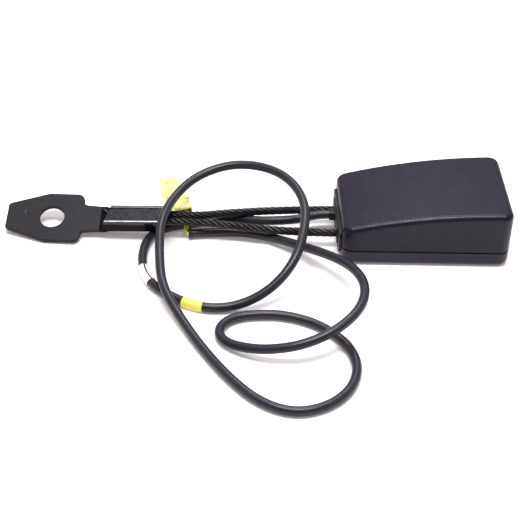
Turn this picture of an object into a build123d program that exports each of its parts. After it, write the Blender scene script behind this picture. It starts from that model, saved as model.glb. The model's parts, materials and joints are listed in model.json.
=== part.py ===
"""Seat belt buckle on a wire rope stalk, with its anchor plate and buckle switch lead.

Millimetres. +X runs along the stalk to the mouth of the buckle, +Z up, and the part lies on
Z = 0 as it does on a bench. The origin is under the middle of the rigid length.
"""

from build123d import *
from math import cos, radians, sin, tan
import os

# Buckle casing: two mouldings that meet at a parting plane
buckle_length = 87.9
cover_rear = 1.8
mouth_width = 57.2
rear_width = 53.2
mouth_height = 31.2
rear_height = 20.6
crown = 3.0
parting_height = 8.5
parting_gap = 0.3
wall = 2.2
plan_corner = 5.5
top_edge = 3.0
bottom_edge = 3.0
lip_height = 1.6
lip_thickness = 1.0

# Clearances
slide_gap = 0.3
seat_gap = 0.05
pin_gap = 0.05

# Wire rope and its loop inside the casing
rope_diameter = 4.3
rope_height = 7.9
leg_offset = 10.2
loop_center = 20.0

# Steel frame that the tongue slides into
frame_thickness = 2.5
frame_width = 33.0
frame_rear = 12.5
frame_wall_height = 6.4
frame_rest_rear = 12.0
frame_rest_front = 5.4
frame_wall_rear = 24.0
lock_ear_height = 11.9
lock_ear_behind = 12.0
lock_ear_ahead = 7.0
spring_foot_position = 33.0
spring_foot_thickness = 1.5
spring_foot_low = 4.4
saddle_flange = 1.3
rivet_diameter = 6.0
rivet_head_diameter = 10.0
rivet_head_height = 1.6

# Tongue slot and its guide
slot_width = 27.2
slot_height = 4.5
guide_width = 39.4
guide_length = 9.2
guide_roof = 1.0
guide_floor = 2.3
guide_gap = 0.9

# Press button
button_width = 39.4
button_travel = 5.5
button_depth = 8.6
button_height = 7.6
dish_radius = 29.4
dish_depth = 0.8
dish_share = 0.55
button_arm = 2.4
lock_bar_diameter = 3.5
lock_bar_position = 54.0

# Latch, its pin and the ejector
latch_thickness = 2.4
latch_width = 25.0
latch_nose = 19.0
pivot_position = 30.0
pivot_rise = 3.9
latch_eye_radius = 3.4
latch_ear_inner = 6.0
tooth_depth = 1.0
pin_diameter = 4.0
latch_drop = 10.0
tooth_length = 4.4
tooth_position = 52.3
ejector_travel = 8.0
ejector_width = 16.0
ejector_length = 8.6
ejector_rear_height = 2.9
ejector_front_height = 1.7
ejector_stem_width = 5.8
ejector_stem_ahead = 7.0
foot_width = 8.0
foot_rear = 43.6
foot_length = 9.0
foot_low = 4.6

# Springs
spring_wire = 0.7
spring_diameter = 5.0
spring_height = 7.4
spring_side = 8.0
spring_seat_ahead = 6.4
spring_seat_thickness = 1.6
spring_seat_width = 26.0

# Switch
switch_travel = 2.0
switch_length = 11.0
switch_width = 10.0
switch_height = 5.8
plunger_size = 2.4
plunger_x = 46.6
plunger_z = 5.9
switch_rear = 42.0
switch_front_y = -9.2
switch_low = 2.6
terminal_length = 3.4
terminal_width = 1.8
terminal_low = 4.6
terminal_thickness = 0.8
terminal_spots = (-15.9, -12.5)

# Cover screws
screw_diameter = 2.6
screw_head_diameter = 4.6
screw_head_height = 1.6
boss_diameter = 5.8
screw_rest = 2.4
screw_bite = 5.0
rear_screw_position = 8.6
rear_screw_side = 18.2
middle_screw_position = 38.0
middle_screw_side = 20.2

# Bush in the rear wall
bush_width = 29.0
bush_low = 4.6
bush_high = 13.0
bush_lip_side = 21.8
bush_lip_low = 2.4
bush_lip_high = 15.8
bush_lip_thickness = 1.1
bush_lip_corner = 4.5

# Anchor plate, with its tail rolled round the rope ends
plate_thickness = 2.2
anchor_hole_diameter = 13.0
tip_reach = 23.9
tip_width = 15.6
plate_width = 30.0
shoulder_break = -2.9
shoulder_end = 15.6
neck_width = 16.6
neck_start = 16.4
neck_end = 26.5
neck_narrowing = 0.8
sleeve_start = 31.0
sleeve_end = 60.5
plate_corner = 2.0
shoulder_radius = 3.8
seam_width = 0.6
seam_offset = 2.1
plate_height = 7.0
plate_side = 4.5
plate_yaw = -4.5
plate_pitch = 1.2
plate_roll = 19.0

# Switch lead, its bands and its connector
cable_diameter = 4.3
cable_exit_offset = 4.6
cable_exit_height = 9.0
wire_diameter = 2.0
cable_rest = 2.2
wire_stub = 4.6
wire_entry_run = 5.0
wire_waypoints = [(-40.2, -1.0, 5.5)]
band_thickness = 0.3
label_start = 123.4
label_length = 17.0
tape_start = 161.0
tape_length = 12.4
end_tape_length = 1.6
collar_reach = 2.8
collar_half = 2.7
collar_corner = 1.6
connector_length = 31.5
connector_width = 10.8
connector_height = 9.0
connector_entry = (-37.4, 9.9, 5.7)
connector_turn = 108.5
connector_wall = 1.4
connector_corner = 1.0
connector_mouth_depth = 12.0
connector_collar_start = 8.0
connector_collar_length = 2.0
connector_collar_proud = 0.6
lock_arm_start = 10.7
lock_arm_half = 2.3
lock_arm_gap = 0.3
lock_arm_end = 5.0
terminal_row = 2.2
terminal_blade = 0.6
terminal_inset = 3.0

# Derived places
anchor_to_rear = 148.8
rigid_length = tip_reach + anchor_to_rear + buckle_length
rear_x = rigid_length / 2 - buckle_length
anchor_x = rear_x - anchor_to_rear
rope_radius = rope_diameter / 2
base_bottom = rope_height + rope_radius + 0.35
base_top = base_bottom + frame_thickness
slot_floor = base_top + 0.1
latch_bottom = slot_floor + slot_height
latch_top = latch_bottom + latch_thickness
side_outer = frame_width / 2
side_inner = side_outer - frame_thickness
mouth_face = buckle_length - 0.5
button_floor = slot_floor + slot_height + guide_roof + slide_gap
button_rear = mouth_face - button_depth
button_spring_height = button_floor + button_height / 2
frame_front = mouth_face - guide_length - guide_gap
pivot_height = base_top + pivot_rise
spring_seat = lock_bar_position + spring_seat_ahead
ramp = switch_travel / ejector_travel
lock_bar_height = latch_top + 0.55 + lock_bar_diameter / 2
parts = {}


def box(x0, x1, y0, y1, z0, z1):
    """A block between two corners."""
    block = Box(x1 - x0, y1 - y0, z1 - z0, align=(Align.MIN, Align.MIN, Align.MIN))
    return Pos(x0, y0, z0) * block


def rod(start, end, radius):
    """A round bar between two points."""
    axis = Vector(*end) - Vector(*start)
    plane = Plane(origin=start, z_dir=axis)
    return extrude(plane * Circle(radius), axis.length)


def coil(start, end, diameter, wire):
    """Envelope of a compression spring between two points."""
    return rod(start, end, diameter / 2) - rod(start, end, diameter / 2 - wire)


def plan_outline(inset):
    """Casing seen from above: wider at the mouth."""
    outline = Polyline(
        (cover_rear, -rear_width / 2),
        (buckle_length, -mouth_width / 2),
        (buckle_length, mouth_width / 2),
        (cover_rear, rear_width / 2),
        close=True,
    )
    face = make_face(outline)
    face = fillet(face.vertices(), plan_corner)
    if inset:
        face = offset(face, -inset)
    return face


def side_outline(inset):
    """Casing seen from the side: a wedge with a crowned top."""
    middle = ((cover_rear + buckle_length) / 2, (mouth_height + rear_height) / 2 + crown)
    base = Polyline((cover_rear, rear_height), (cover_rear, 0), (buckle_length, 0),
                    (buckle_length, mouth_height))
    top = ThreePointArc((buckle_length, mouth_height), middle, (cover_rear, rear_height))
    face = make_face(base + top)
    if inset:
        face = offset(face, -inset, kind=Kind.INTERSECTION)
    return Plane.XZ * face


def casing_block(inset):
    """Casing form: plan outline crossed with side outline."""
    across = extrude(side_outline(inset), mouth_width / 2 + 1, both=True)
    upright = extrude(plan_outline(inset), mouth_height + 2)
    return across & upright


def casing_outside():
    form = casing_block(0)
    top = form.faces().sort_by(Axis.Z)[-1]
    form = fillet(top.edges(), top_edge)
    bottom = form.faces().sort_by(Axis.Z)[0]
    return fillet(bottom.edges(), bottom_edge)


def slab(z0, z1):
    return box(-10, buckle_length + 10, -mouth_width, mouth_width, z0, z1)


def screw_places():
    """Four cover screws: two at the rear corners, two beside the frame."""
    places = []
    for side in (1, -1):
        places.append((rear_screw_position, side * rear_screw_side))
        places.append((middle_screw_position, side * middle_screw_side))
    return places


def mouth_window():
    low = slot_floor - guide_floor - slide_gap
    high = button_floor + button_height + slide_gap
    half = button_width / 2 + slide_gap
    return box(buckle_length - 2 * wall, buckle_length + 5, -half, half, low, high)


def rear_window(gap):
    half = bush_width / 2 + gap
    return box(-5, cover_rear + wall + 2.4, -half, half, bush_low - gap, bush_high + gap)


def upper_cover():
    shell = casing_outside() - casing_block(wall)
    shell = shell & slab(parting_height + parting_gap / 2, mouth_height + 5)
    roof = casing_block(wall / 2)
    for x, y in screw_places():
        boss = Pos(x, y, parting_height + parting_gap) * Cylinder(
            boss_diameter / 2, mouth_height, align=(Align.CENTER, Align.CENTER, Align.MIN)
        )
        shell = shell + (boss & roof)
    seat = box(spring_seat, spring_seat + spring_seat_thickness, -spring_seat_width / 2,
               spring_seat_width / 2, latch_top + 0.8, mouth_height) & roof
    shell = shell + seat
    for x, y in screw_places():
        depth = screw_length() - parting_height + 1.0
        hole = Pos(x, y, parting_height) * Cylinder(
            screw_diameter / 2 - 0.15, depth, align=(Align.CENTER, Align.CENTER, Align.MIN)
        )
        shell = shell - hole
    return shell - mouth_window() - rear_window(0)


def screw_length():
    return parting_height + screw_bite


def lower_cover():
    shell = casing_outside() - casing_block(wall)
    shell = shell & slab(-1, parting_height - parting_gap / 2)
    lip_top = parting_height + lip_height
    lip = casing_block(wall + 0.15) - casing_block(wall + 0.15 + lip_thickness)
    lip = lip & slab(parting_height - 2.5, lip_top)
    web = casing_block(wall - 0.1) - casing_block(wall + 0.15 + lip_thickness)
    web = web & slab(parting_height - 2.5, parting_height - 1.0)
    shell = shell + lip + web
    floor = casing_block(wall / 2)
    for x, y in screw_places():
        boss = Pos(x, y, 0) * Cylinder(
            boss_diameter / 2,
            parting_height - parting_gap,
            align=(Align.CENTER, Align.CENTER, Align.MIN),
        )
        shell = shell + (boss & floor)
        clear_way = Pos(x, y, parting_height) * Cylinder(
            boss_diameter / 2 + slide_gap, lip_height * 3
        )
        shell = shell - (clear_way & slab(parting_height - parting_gap, mouth_height))
        shell = shell - Pos(x, y, 0) * Cylinder(screw_diameter / 2 + 0.1, mouth_height)
        shell = shell - Pos(x, y, 0) * Cylinder(screw_head_diameter / 2 + 0.2, 2 * screw_rest)
    for x in frame_rests():
        shell = shell + box(x, x + 2.0, -side_outer, -side_outer + 5, wall / 2, base_bottom)
        shell = shell + box(x, x + 2.0, side_outer - 5, side_outer, wall / 2, base_bottom)
    return shell - mouth_window() - rear_window(0)


def frame_rests():
    """Ribs of the lower cover that carry the frame."""
    return [frame_wall_rear + frame_rest_rear, frame_front - frame_rest_front]


def cover_screws():
    group = []
    for x, y in screw_places():
        shank = Pos(x, y, screw_rest) * Cylinder(
            screw_diameter / 2 - 0.2,
            screw_length() - screw_rest,
            align=(Align.CENTER, Align.CENTER, Align.MIN),
        )
        head = Pos(x, y, screw_rest - screw_head_height) * Cylinder(
            screw_head_diameter / 2, screw_head_height, align=(Align.CENTER, Align.CENTER, Align.MIN)
        )
        group.append(head + shank)
    return Compound(children=group)


def rear_bush():
    """Plug in the rear wall that the rope legs and the lead come out through."""
    body = box(0, cover_rear + wall + 1.4, -bush_width / 2 + seat_gap, bush_width / 2 - seat_gap,
               bush_low + seat_gap, bush_high - seat_gap)
    lip_face = cover_rear - seat_gap
    lip = box(lip_face - bush_lip_thickness, lip_face, -bush_lip_side, bush_lip_side,
              bush_lip_low, bush_lip_high)
    lip = fillet(lip.edges().filter_by(Axis.X), bush_lip_corner)
    collar = box(-collar_reach, lip_face, cable_exit_offset - collar_half,
                 cable_exit_offset + collar_half, cable_exit_height - collar_half,
                 cable_exit_height + collar_half)
    collar = fillet(collar.edges().filter_by(Axis.X), collar_corner)
    bush = body + lip + collar
    for side in (-1, 1):
        y = side * leg_offset
        bush = bush - rod((-10, y, rope_height), (10, y, rope_height), rope_radius + seat_gap)
    return bush


def frame():
    base = box(frame_rear, frame_front, -side_outer, side_outer, base_bottom, base_top)
    wall_top = base_top + frame_wall_height
    steel = base
    for side in (-1, 1):
        y0, y1 = sorted((side * side_inner, side * side_outer))
        steel = steel + box(frame_wall_rear, frame_front, y0, y1, base_bottom, wall_top)
        steel = steel + box(lock_bar_position - lock_ear_behind, lock_bar_position + lock_ear_ahead,
                            y0, y1, base_bottom, base_top + lock_ear_height)
    steel = steel - box(button_rear - button_travel - slide_gap, frame_front + 1, -side_outer - 1,
                        side_outer + 1, button_floor - slide_gap, mouth_height)
    foot_front = spring_foot_position + spring_foot_thickness
    steel = steel + box(spring_foot_position, foot_front, -foot_width / 2, foot_width / 2,
                        spring_foot_low, base_bottom)
    bar = lock_bar_diameter / 2 + 0.15
    rear_end = lock_bar_position - button_travel - bar - slide_gap
    track = box(rear_end, lock_bar_position + bar + slide_gap, -side_outer - 1, side_outer + 1,
                lock_bar_height - bar, lock_bar_height + bar)
    steel = steel - track
    steel = steel - box(tooth_position - 1.6, tooth_position + tooth_length + 1.6, -11, 11,
                        base_bottom - 1, base_top + 0.01)
    slot_rear = tooth_position - 0.8 - ejector_stem_ahead - ejector_travel - slide_gap
    steel = steel - box(slot_rear, tooth_position, -ejector_stem_width / 2 - slide_gap,
                        ejector_stem_width / 2 + slide_gap, base_bottom - 1, base_top + 0.01)
    pin = rod((pivot_position, -20, pivot_height), (pivot_position, 20, pivot_height),
              pin_diameter / 2 + 0.02)
    steel = steel - pin
    shank = rod((loop_center, 0, 0), (loop_center, 0, 30), rivet_diameter / 2 + 0.02)
    return steel - shank


def latch_pin():
    return rod((pivot_position, -side_outer - 0.8, pivot_height),
               (pivot_position, side_outer + 0.8, pivot_height), pin_diameter / 2)


def latch():
    eye = latch_eye_radius
    plate = box(pivot_position, tooth_position + tooth_length, -latch_nose / 2, latch_nose / 2,
                latch_bottom, latch_top)
    rear = box(pivot_position, pivot_position + 8, -latch_width / 2, latch_width / 2,
               latch_bottom, latch_top)
    tooth = box(tooth_position, tooth_position + tooth_length, -latch_nose / 2, latch_nose / 2,
                latch_bottom - tooth_depth, latch_top)
    tooth = chamfer(tooth.edges().filter_by(Axis.Y).sort_by(Axis.Z)[:2].sort_by(Axis.X)[-1], 0.8)
    body = plate + rear + tooth
    for side in (-1, 1):
        y0, y1 = sorted((side * latch_ear_inner, side * latch_width / 2))
        ear = rod((pivot_position, y0, pivot_height), (pivot_position, y1, pivot_height), eye)
        body = body + ear
    middle = box(pivot_position - 5, pivot_position + eye + 0.6, -latch_ear_inner,
                 latch_ear_inner, 0, mouth_height)
    body = body - middle
    bore = rod((pivot_position, -20, pivot_height), (pivot_position, 20, pivot_height),
               pin_diameter / 2 + pin_gap)
    return body - bore


def latch_spring():
    """Torsion spring on the latch pin, between the latch's ears."""
    inner = pin_diameter / 2 + 0.2
    outer = inner + spring_wire
    start = (pivot_position, -4.0, pivot_height)
    end = (pivot_position, 4.0, pivot_height)
    ring = rod(start, end, outer) - rod(start, end, inner)
    leg = box(pivot_position - outer, pivot_position - outer + spring_wire, -4.0,
              -4.0 + spring_wire, base_top + 0.05, pivot_height)
    return ring + leg


def ejector():
    front = tooth_position - 0.8
    rear = front - ejector_length
    side = Polyline((rear, slot_floor), (front, slot_floor),
                    (front, slot_floor + ejector_front_height),
                    (rear + slide_gap, slot_floor + ejector_rear_height),
                    (rear, slot_floor + ejector_rear_height), close=True)
    pusher = extrude(Plane.XZ * make_face(side), ejector_width / 2, both=True)
    stem = box(front - ejector_stem_ahead, front - 1.0, -ejector_stem_width / 2,
               ejector_stem_width / 2, spring_height, slot_floor + 1.0)
    foot_front = foot_rear + foot_length
    narrow = foot_width / 2
    wide = narrow + foot_length * ramp
    outline = Polyline((foot_rear, narrow), (foot_front, narrow), (foot_front, -wide),
                       (foot_rear, -narrow), close=True)
    foot = extrude(Pos(0, 0, foot_low) * make_face(outline), base_bottom - slide_gap - foot_low)
    body = pusher + stem + foot
    pocket = rod((foot_rear - 1, 0, spring_height), (foot_rear + 7.0, 0, spring_height),
                 spring_diameter / 2 + 0.3)
    return body - pocket


def ejector_spring():
    start = (spring_foot_position + spring_foot_thickness + seat_gap, 0, spring_height)
    return coil(start, (foot_rear + 7.0 - seat_gap, 0, spring_height), spring_diameter,
                spring_wire)


def press_button():
    rear = button_rear
    half = button_width / 2
    block = box(rear, mouth_face, -half, half, button_floor, button_floor + button_height)
    block = fillet(block.edges().filter_by(Axis.X), 1.4)
    dish = Pos(mouth_face + dish_radius - dish_depth, 0, button_floor + button_height / 2)
    dish = dish * Cylinder(dish_radius, button_height * dish_share)
    block = block - dish
    for side in (-1, 1):
        y0, y1 = sorted((side * (side_outer + slide_gap), side * (side_outer + slide_gap + button_arm)))
        arm_rear = lock_bar_position - 4.0
        block = block + box(arm_rear, rear + 1, y0, y1, lock_bar_height - 3.4, lock_bar_height + 2.6)
        pocket = rod((rear - 1, side * spring_side, button_spring_height),
                     (rear + 3.0, side * spring_side, button_spring_height),
                     spring_diameter / 2 + 0.3)
        block = block - pocket
    hole = rod((lock_bar_position, -30, lock_bar_height), (lock_bar_position, 30, lock_bar_height),
               lock_bar_diameter / 2 + 0.02)
    return block - hole


def lock_bar():
    reach = side_outer + slide_gap + button_arm
    return rod((lock_bar_position, -reach, lock_bar_height),
               (lock_bar_position, reach, lock_bar_height), lock_bar_diameter / 2)


def button_springs():
    rear = button_rear
    group = []
    for side in (-1, 1):
        y = side * spring_side
        group.append(coil((spring_seat + spring_seat_thickness + seat_gap, y, button_spring_height),
                          (rear + 3.0 - seat_gap, y, button_spring_height),
                          spring_diameter, spring_wire))
    return Compound(children=group)


def tongue_guide():
    low = slot_floor - guide_floor
    high = slot_floor + slot_height + guide_roof
    half = guide_width / 2
    rear = mouth_face - guide_length
    block = box(rear, mouth_face, -half, half, low, high)
    slot = box(rear - 1, mouth_face + 1, -slot_width / 2, slot_width / 2, slot_floor,
               slot_floor + slot_height)
    lead_in = box(mouth_face - 1.2, mouth_face + 1, -slot_width / 2 - 0.8, slot_width / 2 + 0.8,
                  slot_floor - 0.8, slot_floor + slot_height)
    return block - slot - lead_in


def rope_saddle():
    low = rope_height - rope_radius - 0.1
    drum = Pos(loop_center, 0, low) * Cylinder(
        leg_offset - rope_radius - seat_gap, base_bottom - low, align=(Align.CENTER, Align.CENTER, Align.MIN)
    )
    flange = Pos(loop_center, 0, low - saddle_flange) * Cylinder(
        leg_offset + 1.2, saddle_flange, align=(Align.CENTER, Align.CENTER, Align.MIN)
    )
    bore = rod((loop_center, 0, 0), (loop_center, 0, 30), rivet_diameter / 2 + 0.02)
    return drum + flange - bore


def saddle_rivet():
    low = rope_height - rope_radius - 0.1 - saddle_flange
    shank = rod((loop_center, 0, low - 1.0), (loop_center, 0, base_top + 1.0), rivet_diameter / 2)
    top = Pos(loop_center, 0, base_top) * Cylinder(
        rivet_head_diameter / 2, rivet_head_height, align=(Align.CENTER, Align.CENTER, Align.MIN)
    )
    bottom = Pos(loop_center, 0, low - rivet_head_height) * Cylinder(
        rivet_head_diameter / 2, rivet_head_height, align=(Align.CENTER, Align.CENTER, Align.MIN)
    )
    return shank + top + bottom


def switch_housing():
    y1 = switch_front_y
    body = box(switch_rear, switch_rear + switch_length, y1 - switch_width, y1, switch_low,
               switch_low + switch_height)
    cavity = box(plunger_x - plunger_size / 2 - 0.3, plunger_x + plunger_size / 2 + 0.3,
                 y1 - 7.0, y1 + 1, plunger_z - plunger_size / 2 - 0.3,
                 plunger_z + plunger_size / 2 + 0.3)
    return body - cavity


def switch_plunger():
    tip = -(foot_width / 2 + (plunger_x - foot_rear) * ramp) - 0.4
    return box(plunger_x - plunger_size / 2, plunger_x + plunger_size / 2, switch_front_y - 4.5,
               tip - 0.3, plunger_z - plunger_size / 2, plunger_z + plunger_size / 2)


def switch_terminals():
    group = []
    for y in terminal_spots:
        group.append(box(switch_rear - terminal_length, switch_rear - seat_gap,
                         y - terminal_width / 2, y + terminal_width / 2,
                         terminal_low, terminal_low + terminal_thickness))
    return Compound(children=group)


# Buckle pieces are modelled from the rear face of the casing; everything is moved to the row frame
buckle_at = Pos(rear_x, 0, 0)
anchor_at = Location((anchor_x, plate_side, plate_height)) * Rot(0, 0, plate_yaw) * Rot(
    0, -plate_pitch, 0) * Rot(plate_roll, 0, 0)


def anchor_point(along, across, above):
    """A point of the anchor plate, measured from the hole's centre on the plate's top face."""
    spot = (anchor_at * Pos(along, across, above)).position
    return (spot.X, spot.Y, spot.Z)


def anchor_plate():
    """Flat plate with the bolt hole; its tail is rolled into an oval sleeve round the ropes."""
    half = plate_width / 2
    end_half = neck_width / 2 - neck_narrowing
    outline = Polyline(
        (-tip_reach, -tip_width / 2),
        (shoulder_break, -half),
        (shoulder_end, -half),
        (neck_start, -neck_width / 2),
        (neck_end, -end_half),
        (neck_end, end_half),
        (neck_start, neck_width / 2),
        (shoulder_end, half),
        (shoulder_break, half),
        (-tip_reach, tip_width / 2),
        close=True,
    )
    face = make_face(outline)
    shoulders = [v for v in face.vertices() if abs(v.X - shoulder_end) < 0.1]
    face = fillet(shoulders, shoulder_radius)
    corners = [v for v in face.vertices() if v.X < neck_start + 0.1 and abs(v.X - shoulder_end) > 0.1
               and not shoulder_end - shoulder_radius - 0.3 < v.X < neck_start - 0.1]
    face = fillet(corners, plate_corner)
    face = face - Circle(anchor_hole_diameter / 2)
    plate = extrude(face, -plate_thickness)
    clear = rope_diameter + 2 * seat_gap
    outer = SlotOverall(2 * clear + 2 * plate_thickness, clear + 2 * plate_thickness)
    inner = SlotOverall(2 * clear, clear)

    def across(along, height):
        return Plane(origin=(along, 0, height), x_dir=(0, 1, 0), z_dir=(1, 0, 0))

    strip = across(neck_end, -plate_thickness / 2) * Rectangle(2 * end_half, plate_thickness)
    swell = loft([strip.face(), (across(sleeve_start, clear / 2) * outer).face()])
    sleeve = extrude(across(sleeve_start, clear / 2) * outer, sleeve_end - sleeve_start)
    bore = extrude(across(sleeve_start + 1.0, clear / 2) * inner, sleeve_end - sleeve_start)
    groove = box(sleeve_start - 1, sleeve_end + 1, seam_offset, seam_offset + seam_width,
                 clear + plate_thickness - 0.8, clear + plate_thickness + 1)
    return plate + swell + sleeve - bore - groove


def rope_route():
    """Far leg from the sleeve to the casing, round the saddle, and back along the near leg."""
    side = rope_diameter / 2 + seat_gap
    turn = rear_x + loop_center + leg_offset
    far_start = anchor_point(sleeve_start + 2.5, side, side)
    far_end = anchor_point(sleeve_end + 4, side, side)
    near_start = anchor_point(sleeve_start + 2.5, -side, side)
    near_end = anchor_point(sleeve_end + 4, -side, side)
    return [
        far_start,
        far_end,
        (-30.0, 1.4, 9.9),
        (-13.0, 4.4, 10.0),
        (15.0, 8.4, 8.8),
        (rear_x - 8, leg_offset, rope_height),
        (turn, leg_offset, rope_height),
        (turn, -leg_offset, rope_height),
        (rear_x - 8, -leg_offset, rope_height),
        (8.0, -8.8, 8.4),
        (-15.0, -5.4, 9.2),
        near_end,
        near_start,
    ]


def wire_rope():
    points = rope_route()
    radii = []
    for before, here, after in zip(points, points[1:], points[2:]):
        radii.append(bend_radius(before, here, after))
    radii[0] = bend_radius(*points[:3], reach=3.0)
    radii[5] = leg_offset - 0.05
    radii[6] = leg_offset - 0.05
    radii[-1] = bend_radius(*points[-3:], reach=3.0)
    path = FilletPolyline(*points, radius=radii)
    return swept_tube(path, rope_radius)


def bend_radius(before, here, after, reach=None):
    """Arc at a corner of a route, starting at reach from it, or at 0.45 of the shorter run."""
    run_in = Vector(*here) - Vector(*before)
    run_out = Vector(*after) - Vector(*here)
    turn = run_in.get_angle(run_out)
    if reach is None:
        reach = 0.45 * min(run_in.length, run_out.length)
    return reach / tan(radians(turn / 2))


def swept_tube(path, radius):
    section = Plane(origin=path @ 0, z_dir=path % 0) * Circle(radius)
    return sweep(section, path=path)


# Route of the switch lead from the collar to where its sheath ends
cable_route = [
    (39.5, cable_exit_offset, cable_exit_height),
    (33.0, cable_exit_offset, cable_exit_height),
    (24.0, 0.8, 8.7),
    (14.0, 0.2, 8.1),
    (2.0, 2.0, 6.5),
    (-13.0, 8.0, 4.3),
    (-26.0, 6.2, 2.6),
    (-36.0, 4.6, cable_rest),
    (-46.0, 2.0, cable_rest),
    (-54.5, -5.0, cable_rest),
    (-58.0, -13.0, cable_rest),
    (-60.0, -27.5, 2.5),
    (-56.0, -43.0, 2.5),
    (-43.0, -55.0, cable_rest),
    (-27.0, -64.5, cable_rest),
    (-9.5, -64.0, 2.5),
    (7.0, -59.5, 9.5),
    (19.0, -48.5, 18.5),
    (24.5, -30.5, 25.0),
    (25.5, -10.0, 28.0),
    (18.0, 8.5, 29.5),
    (4.5, 22.0, 28.0),
    (-13.0, 26.5, 26.0),
    (-30.5, 20.5, 22.5),
    (-42.0, 6.0, 19.5),
    (-48.5, -13.5, 18.0),
    (-48.5, -34.5, 12.5),
    (-46.5, -54.5, 8.0),
    (-37.0, -73.5, 3.5),
    (-26.0, -94.5, cable_rest),
    (-13.5, -115.0, 2.5),
    (0.0, -130.5, cable_rest),
    (15.5, -137.5, cable_rest),
    (31.5, -133.0, cable_rest),
    (43.0, -121.0, cable_rest),
    (47.0, -104.5, cable_rest),
    (41.5, -88.5, cable_rest),
    (28.5, -75.5, cable_rest),
    (13.0, -69.5, cable_rest),
    (1.0, -69.3, cable_rest),
    (-8.0, -70.5, cable_rest),
    (-15.5, -74.5, cable_rest),
    (-19.0, -82.0, cable_rest),
    (-16.0, -89.8, 2.8),
    (-8.0, -95.3, 4.0),
    (4.0, -100.0, 6.5),
    (20.0, -101.5, 10.5),
    (36.0, -95.5, 14.0),
    (49.0, -82.0, 16.5),
    (53.0, -65.0, 16.5),
    (48.5, -47.0, 14.0),
    (37.0, -31.5, 10.0),
    (23.0, -18.0, 5.5),
    (8.5, -7.5, 3.0),
    (-6.0, -2.0, cable_rest),
    (-20.0, -2.5, cable_rest),
    (-34.4, -4.0, 2.6),
]


def cable_path():
    radii = []
    for before, here, after in zip(cable_route, cable_route[1:], cable_route[2:]):
        radii.append(bend_radius(before, here, after))
    return FilletPolyline(*cable_route, radius=radii), radii


def export(name, shape, place=Location()):
    parts[name] = place * shape
    export_step(parts[name], f"parts/{name}.step")


os.makedirs("parts", exist_ok=True)


def band(path, start, length):
    """A turn of tape or a label on the lead, starting at that length of lead from the collar."""
    stretch = path.trim(start / path.length, min((start + length) / path.length, 1.0))
    section = Plane(origin=stretch @ 0, z_dir=stretch % 0)
    radius = cable_diameter / 2
    ring = section * (Circle(radius + band_thickness) - Circle(radius))
    return sweep(ring, path=stretch)


def wire_pigtail():
    """Thin wires from the end of the sheath, under the rope, to the connector."""
    sheath_end = Vector(*cable_route[-1])
    onward = (sheath_end - Vector(*cable_route[-2])).normalized()
    entry = Vector(*connector_entry)
    inward = Vector(cos(radians(connector_turn)), sin(radians(connector_turn)), 0)
    waypoints = [Vector(*point) for point in wire_waypoints]
    points = [sheath_end, sheath_end + onward * wire_stub, *waypoints,
              entry - inward * wire_entry_run, entry]
    radii = [bend_radius(a, b, c) for a, b, c in zip(points, points[1:], points[2:])]
    return swept_tube(FilletPolyline(*points, radius=radii), wire_diameter / 2)


connector_at = Location((connector_entry[0], connector_entry[1], 0)) * Rot(0, 0, connector_turn)


def connector_housing():
    half = connector_width / 2
    body = box(0, connector_length, -half, half, 0, connector_height)
    body = fillet(body.edges().filter_by(Axis.X), connector_corner)
    mouth = box(connector_length - connector_mouth_depth, connector_length + 1,
                -half + connector_wall, half - connector_wall, connector_wall,
                connector_height - connector_wall)
    collar = box(connector_collar_start, connector_collar_start + connector_collar_length,
                 -half - connector_collar_proud, half + connector_collar_proud, 0,
                 connector_height + connector_collar_proud)
    track_half = lock_arm_half + lock_arm_gap
    track = box(lock_arm_start - 0.2, connector_length - lock_arm_end + 1, -track_half,
                track_half, connector_height - 1.0, connector_height + 1)
    return body + collar - mouth - track


def connector_lock():
    """Latch tongue of the connector, in the track on its top."""
    end = connector_length - lock_arm_end
    arm = box(lock_arm_start, end, -lock_arm_half, lock_arm_half, connector_height - 0.95,
              connector_height + 0.5)
    catch = box(end - 3, end, -lock_arm_half, lock_arm_half, connector_height,
                connector_height + 1.4)
    return arm + catch


def connector_terminals():
    group = []
    start = connector_length - connector_mouth_depth
    for y in (-terminal_row, terminal_row):
        group.append(box(start, connector_length - terminal_inset, y - terminal_blade,
                         y + terminal_blade, connector_height / 2 - 0.5,
                         connector_height / 2 + 0.5))
    return Compound(children=group)


export("upper_cover", upper_cover(), buckle_at)
export("lower_cover", lower_cover(), buckle_at)
export("cover_screws", cover_screws(), buckle_at)
export("rear_bush", rear_bush(), buckle_at)
export("tongue_guide", tongue_guide(), buckle_at)
export("press_button", press_button(), buckle_at)
export("lock_bar", lock_bar(), buckle_at)
export("button_springs", button_springs(), buckle_at)
export("frame", frame(), buckle_at)
export("latch", latch(), buckle_at)
export("latch_pin", latch_pin(), buckle_at)
export("latch_spring", latch_spring(), buckle_at)
export("ejector", ejector(), buckle_at)
export("ejector_spring", ejector_spring(), buckle_at)
export("rope_saddle", rope_saddle(), buckle_at)
export("saddle_rivet", saddle_rivet(), buckle_at)
export("switch_housing", switch_housing(), buckle_at)
export("switch_plunger", switch_plunger(), buckle_at)
export("switch_terminals", switch_terminals(), buckle_at)
export("anchor_plate", anchor_plate(), anchor_at)
export("wire_rope", wire_rope())

lead_path, lead_radii = cable_path()
export("switch_cable", swept_tube(lead_path, cable_diameter / 2))
export("label_band", band(lead_path, label_start, label_length))
export("tape_band", band(lead_path, tape_start, tape_length))
export("end_tape", band(lead_path, lead_path.length - end_tape_length, end_tape_length))
export("wire_pigtail", wire_pigtail())
export("connector_housing", connector_housing(), connector_at)
export("connector_lock", connector_lock(), connector_at)
export("connector_terminals", connector_terminals(), connector_at)

print("lead radii", [round(r, 1) for r in lead_radii])
print("lead length", round(lead_path.length, 1))
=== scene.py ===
import json
import math

import bpy
from mathutils import Matrix, Vector

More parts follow.
